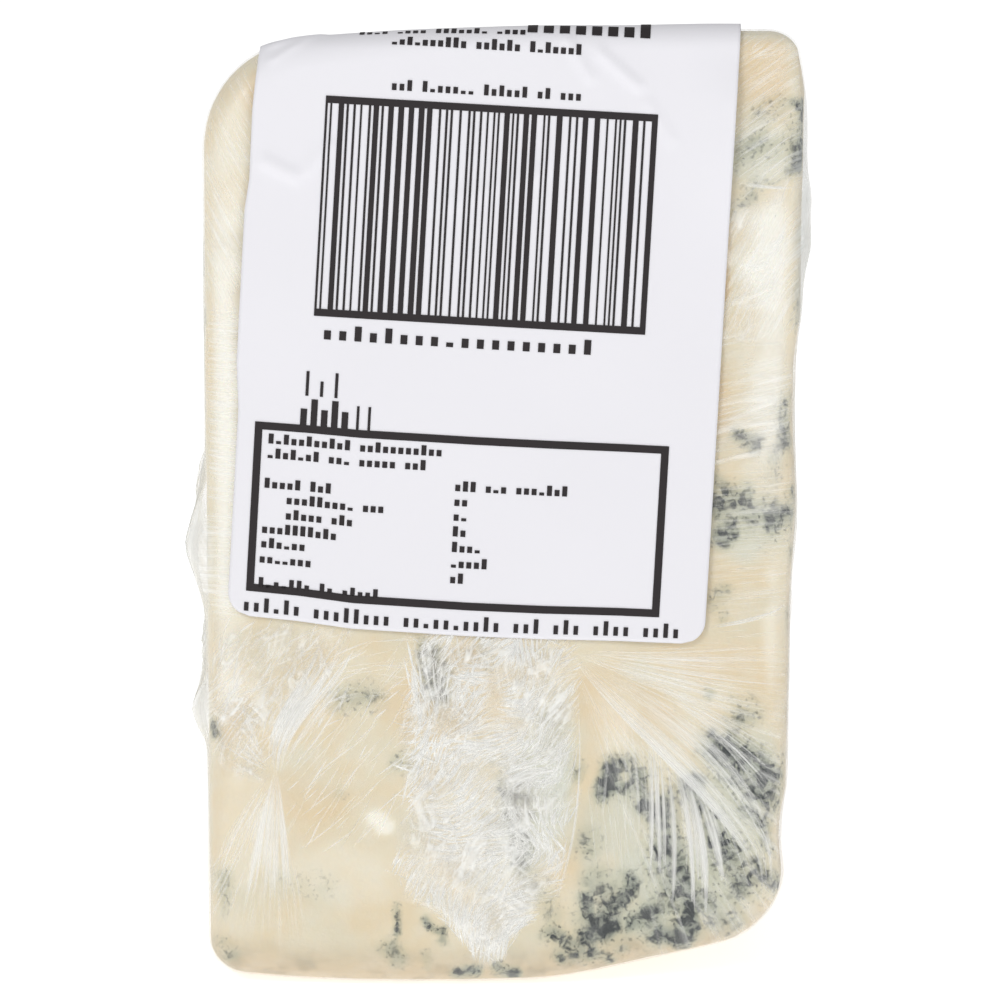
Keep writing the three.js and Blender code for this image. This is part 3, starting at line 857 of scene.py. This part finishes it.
def make_cheese():
    p, normal, faces = wedge_surface(CHEESE_GRID, -CHEESE_DEPTH)
    front = front_share(normal)
    vein = veins_everywhere(p, normal)
    band = RIND_BAND["strength"] * (1 - smooth(-underside(p), *RIND_BAND["depth"]))
    right = RIND_END * smooth(normal[:, 0], 0.8, 1.0)
    tones = {name: front * tone_share(p, patches) for name, patches in TONES.items()}
    filled = np.minimum(film_relief(p, normal), CHEESE_FILL) * smooth(normal[:, 0], 0.0, 0.4)
    lumps = CHEESE_LUMPS["height"] * noise(p, CHEESE_LUMPS["cell"], 31)
    p = p + normal * (filled + lumps)[:, None]
    values = {"vein": vein, "rind": np.maximum(band, right), **tones}
    return piece("cheese", p, faces, cheese_material(), values)


def turned(a, b, angle):
    """Distances across and along a direction at that angle."""
    angle = math.radians(angle)
    return b * math.cos(angle) - a * math.sin(angle), a * math.cos(angle) + b * math.sin(angle)


def film_streaks(p, normal):
    """Distances across and along the streaks of the stretched film, and how strong they are."""
    x, s = p[:, 0], height_along(p)
    turn, most = END_STREAKS
    streaks = np.stack([*turned(p[:, 1], p[:, 2], turn), np.full(len(p), most)])
    for face, x_range, s_range, turn, most in STREAKS:
        rim = inset(x, s, x_range, s_range)
        inside = (normal[:, 1] * face > 0.5) & (rim > 0)
        streaks = np.where(inside, np.stack([*turned(x, s, turn), most * smooth(rim, 0, 4)]), streaks)
    for knot, (low, high), most_reach, most in STREAK_FANS:
        dx, ds = x - knot[0], s - knot[1]
        reach, angle = np.hypot(dx, ds), np.degrees(np.arctan2(ds, dx))
        edge = np.minimum(angle - low, high - angle)
        inside = (normal[:, 1] < -0.5) & (edge > 0) & (above_label_foot(x, s) < 0)
        rim = smooth(edge, 0, 6) * (1 - smooth(reach, 0.6 * most_reach, most_reach))
        streaks = np.where(inside, np.stack([np.radians(angle) * FAN_RADIUS, reach, most * rim]), streaks)
    across, along, strength = streaks
    return across / STREAK_SIZE[0], along / STREAK_SIZE[1], strength


def strip_share(x, s, strip):
    """How far places are into a hazy strip beside the label."""
    kept = 1 - strip["share"] * smooth(s, *strip["gone"])
    return smooth(x, *strip["x"]) * smooth(s, *strip["s"]) * kept


def make_film():
    p, normal, faces = wedge_surface(FILM_GRID, 0)
    x, s = p[:, 0], height_along(p)
    across, along, strength = film_streaks(p, normal)
    relief = film_relief(p, normal)
    crumpled = front_share(normal) * crumple_share(x, s)
    beside = HAZE["left"] * strip_share(-x, s, LEFT_STRIP) + HAZE["right"] * strip_share(x, s, RIGHT_STRIP)
    haze = HAZE["all"] + HAZE["crumpled"] * crumpled + HAZE["raised"] * smooth(relief, 0.4, 1.6)
    haze += front_share(normal) * beside
    p = p + normal * (relief + FILM_LIFT)[:, None]
    loose = smooth(np.abs(normal[:, 0]), 0.3, 0.8) * smooth(relief, 0.2, 1.2)
    haze += loose * (HAZE["loose"] + HAZE["loose_front"] * smooth(-p[:, 1], 2, 12))
    # From here loose marks only the right end, where the film is painted grey: a painted reflection of
    # darker surroundings.
    loose *= normal[:, 0] > 0
    values = {"haze": haze, "streak": strength, "across": across, "along": along, "loose": loose}
    material = film_material("clear film", 0.2, film_cover, film_normal, film_colour_with_painted_reflection)
    return piece("film", p, faces, material, values)


# ---- Pleats and fibres: thin tented strips that lie on the film ----


def between(span, count):
    """Random numbers in that range."""
    return chance.uniform(span[0], span[1], count)


def clustered(span, count, low, high):
    """Random numbers in that range, which are rarer near its ends the greater low and high are."""
    return span[0] + (span[1] - span[0]) * chance.beta(low, high, count)


def curved(start, angle, length, drift, steps):
    """Paths (n, steps + 1, 2) that set out at an angle and turn by drift along their length."""
    t = np.linspace(0, 1, steps + 1)
    turn = np.radians(angle[:, None] + drift[:, None] * (t - 0.5))
    moves = np.stack([np.cos(turn), np.sin(turn)], axis=-1) * (length / steps)[:, None, None]
    return start[:, None, :] + np.cumsum(moves, axis=1) - moves


def guide(points):
    """A smooth curve through a few points, as a function of a share of its length."""
    points = np.array(points, dtype=float)
    reach = np.concatenate([[0], np.cumsum(np.linalg.norm(np.diff(points, axis=0), axis=1))])
    degree = min(3, len(points) - 1)
    fit = [np.polyfit(reach / reach[-1], points[:, axis], degree) for axis in (0, 1)]
    return lambda t: np.stack([np.polyval(line, t) for line in fit], axis=-1)


def sheaf_paths(sheaf):
    """Paths between a sheaf's two guides."""
    count = sheaf.count
    low, high = guide(sheaf.low), guide(sheaf.high)
    begin, end = between((0, sheaf.start), count), between((sheaf.end, 1), count)
    t = begin[:, None] + (end - begin)[:, None] * np.linspace(0, 1, PLEAT_STEPS + 1)
    share = chance.random(count)[:, None] + PLEAT_WANDER * chance.normal(size=count)[:, None] * t
    return low(t) * (1 - share[..., None]) + high(t) * share[..., None]


def patch_paths(patch):
    """Paths scattered over a patch."""
    count = patch.count
    start = np.stack([between(patch.x, count), between(patch.s, count)], axis=1)
    drift = patch.drift * between((-1, 1), count)
    return curved(start, between(patch.angle, count), between(patch.length, count), drift, PLEAT_STEPS)


def fibre_paths():
    """Fine wrinkles of the first crumpled zone, which lie much alike within each small facet of it."""
    count = FIBRES.count
    s = clustered(FIBRES.s, count, 1.2, 1.1)
    left, right = crumple_bounds(s)
    x = left + (right - left) * clustered(FIBRES.x, count, 1.35, 1.35)
    turn = FACET_TURN["middle"] + FACET_TURN["reach"] * noise(flat_place(x, s), CRUMPLES[0].facet, 51)
    alike = turn + chance.normal(0, FACET_TURN["scatter"], count)
    angle = np.where(chance.random(count) < 1 - STRAY, alike, between(FIBRES.angle, count))
    length, drift = between(FIBRES.length, count), between((-FIBRES.drift, FIBRES.drift), count)
    return curved(np.stack([x, s], axis=1), angle, length, drift, FIBRE_STEPS)


def strips(paths, shape):
    """Points, faces and whitening of tented strips, with edges on the film and a ridge over it, whitest
    there: partly haze, partly painted highlight.
    """
    count, steps = paths.shape[:2]
    width, height = between(shape.width, count), between(shape.height, count)
    low, high = shape.cover
    cover = low + (high - low) * chance.random(count) ** shape.rare
    along = np.gradient(paths, axis=1)
    across = np.stack([-along[..., 1], along[..., 0]], axis=-1)
    across /= np.linalg.norm(across, axis=-1, keepdims=True) + 1e-9
    t = np.linspace(TAPER["from"], TAPER["to"], steps)
    taper = np.sin(np.pi * t) ** TAPER["power"] * t**shape.spread
    side = across * (width[:, None] * taper / 2)[..., None]
    rows = np.stack([paths - side, paths, paths + side], axis=2).reshape(-1, 2)
    ridge = (height[:, None] * taper)[:, :, None] * np.array([0, 1, 0])
    whiten = (cover[:, None] * taper)[:, :, None] * np.array([EDGE_COVER, 1, EDGE_COVER])
    points = on_film(FACES[shape.face](rows[:, 0], rows[:, 1]), PLEAT_LIFT + ridge.reshape(-1))
    ids = np.arange(count * steps * 3).reshape(count, steps, 3)
    return points, quads(ids), whiten.reshape(-1)


def joined(parts):
    """One set of points, faces and values from several."""
    points, faces, *values = zip(*parts)
    first = np.cumsum([0] + [len(part) for part in points])
    faces = [part + start for part, start in zip(faces, first)]
    return [np.concatenate(group) for group in (points, faces, *values)]


def clear_of_label(paths):
    """The paths of the front face that the label doesn't hide and that stay on the face."""
    x, s = paths[..., 0], paths[..., 1]
    beside = np.abs(x - LABEL_FOOT["x"] - (s - LABEL_FOOT["s"]) * math.tan(LABEL_TURN)) > LABEL["width"] / 2
    shown = ((above_label_foot(x, s) < 0) | beside).all(axis=1)
    return paths[shown & (inset(x, s, *FRONT_LIMITS) > 0).all(axis=1)]


def on_hidden_face(paths, face):
    """The paths that stay on the back below the label, or on an end."""
    a, b = paths[..., 0], paths[..., 1]
    if face == "back":
        stays = inset(a, b, *BACK_LIMITS) > 0
    else:
        half_width = (APEX_Z - b) * math.tan(HALF) - END_LIMITS["margin"]
        stays = (np.abs(a) < half_width) & (b > END_LIMITS["low"])
    return paths[stays.all(axis=1)]


def pleat_piece(name, parts):
    points, faces, cover = joined(parts)
    return piece(name, points, faces, film_material(name.replace("_", " "), 0.25), {"cover": cover})


def make_pleats():
    parts = [strips(clear_of_label(sheaf_paths(sheaf)), sheaf) for sheaf in SHEAVES]
    parts += [strips(clear_of_label(patch_paths(patch)), patch) for patch in PATCHES]
    return pleat_piece("film_pleats", parts)


def make_hidden_pleats():
    made = [(sheaf_paths(sheaf), sheaf) for sheaf in HIDDEN_SHEAVES]
    made += [(patch_paths(patch), patch) for patch in HIDDEN_PATCHES]
    parts = [strips(on_hidden_face(paths, shape.face), shape) for paths, shape in made]
    return pleat_piece("film_folds", parts)


def make_fibres():
    paths = fibre_paths()
    left, right = crumple_bounds(paths[..., 1])
    inside = (paths[..., 0] > left - 1.2) & (paths[..., 0] < right + 1.2)
    paths = clear_of_label(paths[inside.all(axis=1)])
    points, faces, cover = strips(paths, FIBRES)
    cover = cover * np.clip(0.8 + 1.0 * noise(points, 3.2, 85), 0.05, 1.5)
    return piece("film_fibres", points, faces, film_material("film fibres", 0.3), {"cover": cover})


def wrinkle_ridges(place, size, zone, seed):
    """Ridges from 0 to 1 of parallel wrinkles, in facets that each have a direction of their own."""
    total, weight = np.zeros(len(place)), np.full(len(place), 1e-6)
    for k, angle in enumerate(zone.angles):
        across, along = turned(place[:, 0], place[:, 1], angle)
        wave = np.abs(noise(flat_place(across / size[0], along / size[1]), 1, seed + k))
        share = smooth(noise(place, zone.facet, 70 + k), *FACET_BLEND) ** 2
        total += share * np.clip(1 - RIDGE_SHARPNESS * wave, 0, 1)
        weight += share
    return total / weight


def crumpled_grid(zone):
    """Points, faces, whitening (partly painted highlight on the ridges) and painted shade in the valleys of
    one crumpled zone, on a grid fine enough for its wrinkles.
    """
    columns, rows = zone.grid
    a, b = np.meshgrid(np.linspace(0, 1, columns + 1), np.linspace(0, 1, rows + 1), indexing="ij")
    a, b = a.ravel(), b.ravel()
    foot, rise = zone.s[0], zone.s[-1] - zone.s[0]
    s = foot + b * rise
    left, right = crumple_bounds(s, zone)
    x = left + a * (right - left)
    if foot < LABEL_FOOT["s"]:
        foot_s = LABEL_FOOT["s"] - LABEL_MARGIN - (x - LABEL_FOOT["x"]) * math.tan(LABEL_TURN)
        s = np.minimum(s, foot_s)
    place = flat_place(x, s)
    inside = np.minimum(np.minimum(a, 1 - a) * (right - left), np.minimum(b, 1 - b) * rise)
    rim = smooth(inside + 0.8 * noise(place, 3, 84), 0, CRUMPLE_RIM)
    ridges = [wrinkle_ridges(place, size, zone, 60 + 10 * k) for k, size in enumerate(zone.wrinkles)]
    height = sum(size[2] * ridge for size, ridge in zip(zone.wrinkles, ridges))
    points = on_film(FACES["front"](x, s), CRUMPLE_LIFT + rim * height)
    patchy = np.clip(0.6 + 0.7 * noise(place, 4, 81) + 0.3 * noise(place, 1.7, 82), 0.1, 1.3)
    ridge = smooth(0.6 * ridges[0] + 0.7 * ridges[1], 0.1, 0.8)
    upper = smooth(s + 3 * noise(place, 5, 83), 26, 34)
    # The ridges whiten more: partly the film's haze, partly painted highlight.
    cover = rim * (zone.cover + zone.ridge * ridge + 0.16 * (1 - upper)) * patchy
    # Painted shade in the valleys between the wrinkles.
    painted_valley_shade = (1 - ridge) * (0.5 + 0.4 * upper)
    ids = np.arange(len(x)).reshape(columns + 1, rows + 1)
    return points, quads(ids), cover, painted_valley_shade


def make_gather():
    points, faces, cover, painted_valley_shade = joined([crumpled_grid(zone) for zone in CRUMPLES])
    material = film_material("gathered film", 0.3, colour=painted_valley_shade_colour)
    return piece("film_gather", points, faces, material, {"cover": cover, "painted_valley_shade": painted_valley_shade})


# ---- Label ----


def crease_relief(u, v):
    relief = np.zeros(len(u))
    for start, end, half_width, height in CREASES:
        t, away = near_stroke(u, v, start, end)
        relief += height * bump(away / half_width) * smooth(1 - np.abs(2 * t - 1), 0, 0.4)
    lifted = smooth(u, LIFTED_EDGE["u"], LABEL["width"] / 2)
    upper = smooth(v, LIFTED_EDGE["from"], LIFTED_EDGE["to"]) * (1 - smooth(v, *LIFTED_EDGE["gone"]))
    swell = SWELL["height"] * noise(flat_place(u, v), SWELL["cell"], 41)
    return relief + LIFTED_EDGE["height"] * lifted * upper + swell + SWELL["height"]


def on_label(u, v, lift):
    """Points over the label, which follow its creases and the wedge's tip."""
    x = LABEL_FOOT["x"] + u * math.cos(LABEL_TURN) + v * math.sin(LABEL_TURN)
    v = v - np.interp(u, SAG["u"], SAG["by"]) * np.clip(1 - v / SAG["gone"], 0, 1)
    past = LABEL_FOOT["s"] + v * math.cos(LABEL_TURN) - u * math.sin(LABEL_TURN) - TIP_START
    radius = TIP_RADIUS + LABEL["gap"]
    arc = np.clip(past / radius, 0, math.pi - 2 * HALF)
    straight = np.where(past < 0, past, past - arc * radius)
    out = LABEL["gap"] + crease_relief(u, v) + lift
    zero = np.zeros(len(u))
    normal = np.stack([zero, -np.cos(HALF + arc), np.sin(HALF + arc)], axis=1)
    onward = np.stack([zero, np.sin(HALF + arc), np.cos(HALF + arc)], axis=1)
    centre = np.stack([x, zero, zero + TIP_CENTRE_Z], axis=1)
    p = centre + normal * (TIP_RADIUS + out)[:, None] + onward * straight[:, None]
    return settle(p, out, keep_x=True)


def make_label():
    places, faces = box_grid(*PAPER_GRID)
    v = places[:, 2] * LABEL["length"]
    corner = LABEL["corner"]
    to_end = np.minimum(np.minimum(v, LABEL["length"] - v), corner)
    narrower = corner - np.sqrt(corner**2 - (corner - to_end) ** 2)
    u = (places[:, 0] * 2 - 1) * (LABEL["width"] / 2 - narrower)
    u -= np.interp(v, LEFT_EDGE["v"], LEFT_EDGE["out"]) * np.clip(-2 * u / LABEL["width"], 0, 1)
    points = on_label(u, v, (1 - places[:, 1]) * LABEL["thickness"])
    return piece("label_paper", points, faces, plain_material("label paper", PAPER, 0.5))


# ---- Print ----


def rectangle(u0, v0, u1, v1):
    """A printed rectangle as rows of pairs of points, cut short enough to follow the paper."""
    if abs(u1 - u0) > abs(v1 - v0):
        cuts = np.linspace(u0, u1, max(2, round(abs(u1 - u0) / PRINT_CUT) + 1))
        return np.array([[(u, v0), (u, v1)] for u in cuts])
    cuts = np.linspace(v0, v1, max(2, round(abs(v1 - v0) / PRINT_CUT) + 1))
    return np.array([[(u1, v), (u0, v)] for v in cuts])


def frame_of(box):
    left, right, low, high, rule = (box[key] for key in ("left", "right", "low", "high", "rule"))
    return [
        rectangle(left, low, right, low + rule),
        rectangle(left, high - rule, right, high),
        rectangle(left, low + rule, left + rule, high - rule),
        rectangle(right - rule, low + rule, right, high - rule),
    ]


def bars():
    """A made-up pattern of bars between two rules, closed by a wide bar."""
    foot, top, last = BARS["low"] + BARS["rule"], BARS["high"] - BARS["rule"], max(BARS["widths"])
    shapes = [
        rectangle(BARS["left"], top, BARS["right"], BARS["high"]),
        rectangle(BARS["left"], BARS["low"], BARS["right"], foot),
        rectangle(BARS["right"] - last, foot, BARS["right"], top),
    ]
    u = BARS["left"]
    while u < BARS["right"] - BARS["room"] * last:
        right = u + chance.choice(BARS["widths"])
        shapes.append(rectangle(u, foot, right, top))
        u = right + chance.choice(BARS["gaps"])
    return shapes


def line_of_blocks(left, v, words, pitch, height, width):
    shapes = []
    u = left + pitch / 2
    for word in words:
        for _ in range(word):
            foot, top = v - height / 2, v + (chance.choice(BLOCKS) - 0.5) * height
            shapes.append(rectangle(u - width / 2, foot, u + width / 2, top))
            u += pitch
        u += pitch
    return shapes


def make_print():
    shapes = bars() + frame_of(BOX)
    for left, v, words, *block in LINES:
        shapes += line_of_blocks(left, v, words, *(block or SMALL_BLOCK))
    ids = [np.arange(len(shape) * 2).reshape(-1, 2) for shape in shapes]
    flat, faces = joined([(shape.reshape(-1, 2), quads(order)) for shape, order in zip(shapes, ids)])
    lifted = on_label(flat[:, 0], flat[:, 1], np.full(len(flat), LABEL["thickness"] + PRINT_LIFT))
    return piece("label_print", lifted, faces, plain_material("print", INK, 0.6))


# ---- Build it ----

cheese = make_cheese()
film = make_film()
pleats = make_pleats()
folds = make_hidden_pleats()
gather = make_gather()
fibres = make_fibres()
label = make_label()
label_print = make_print()

for made in (cheese, film, pleats, folds, gather, fibres):
    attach(made, "root")
    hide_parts("wrapped_wedge")
for made in (film, pleats, folds, gather, fibres):
    made.visible_shadow = False  # light goes through clear film
    made.visible_diffuse = False
for made in (label, label_print):
    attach(made, "root")
    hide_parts("label")

# ---- Floor, light and camera ----

CAMERA = {"aim": (0.76, -0.91, 59.0), "elevation": 17, "distance": 750, "lens": 202, "sensor": 36}
# Lights and floor, in metres and watts.
KEY = {"place": (-0.45, -0.7, 0.75), "size": 0.35, "power": 2.6}
FILL = {"place": (0.7, -0.6, 0.35), "size": 0.5, "power": 0.93}
LIT_POINT = (0, 0, 0.06)
FLOOR_HALF = 3
WORLD_STRENGTH = 0.495


def make_floor():
    mesh = bpy.data.meshes.new("floor")
    corners = [(x * FLOOR_HALF, y * FLOOR_HALF, 0) for x, y in ((-1, -1), (1, -1), (1, 1), (-1, 1))]
    mesh.from_pydata(corners, [], [(0, 1, 2, 3)])
    g = Graph("pale floor")
    white = {
        "Base Color": (0.9, 0.9, 0.9, 1),
        "Roughness": 0.9,
        "Emission Color": (1, 1, 1, 1),
        "Emission Strength": 0.6,
    }
    mesh.materials.append(g.finish(g.node("BsdfPrincipled", white).outputs[0]))
    made = added("floor", mesh)


def make_light(name, place, size, power):
    light = bpy.data.lights.new(name, "AREA")
    light.size = size
    light.energy = power
    made = added(name, light)
    made.location = place
    made.rotation_euler = (Vector(LIT_POINT) - made.location).to_track_quat("-Z", "Y").to_euler()


def make_world():
    world = bpy.data.worlds.new("studio")
    world.use_nodes = True
    background = world.node_tree.nodes["Background"]
    background.inputs["Color"].default_value = (1, 1, 1, 1)
    background.inputs["Strength"].default_value = WORLD_STRENGTH
    bpy.context.scene.world = world


def make_camera():
    camera = bpy.data.cameras.new("camera")
    camera.lens = CAMERA["lens"]
    camera.sensor_width = CAMERA["sensor"]
    camera.clip_start = 0.05
    made = added("camera", camera)
    aim = Vector(CAMERA["aim"]) * MM
    angle = math.radians(CAMERA["elevation"])
    made.location = aim + Vector((0, -math.cos(angle), math.sin(angle))) * CAMERA["distance"] * MM
    made.rotation_euler = (math.pi / 2 - angle, 0, 0)
    bpy.context.scene.camera = made


make_floor()
make_world()
make_light("key", **KEY)
make_light("fill", **FILL)
make_camera()
scene = bpy.context.scene
scene.view_settings.view_transform = "Standard"
scene.cycles.transparent_max_bounces = 32
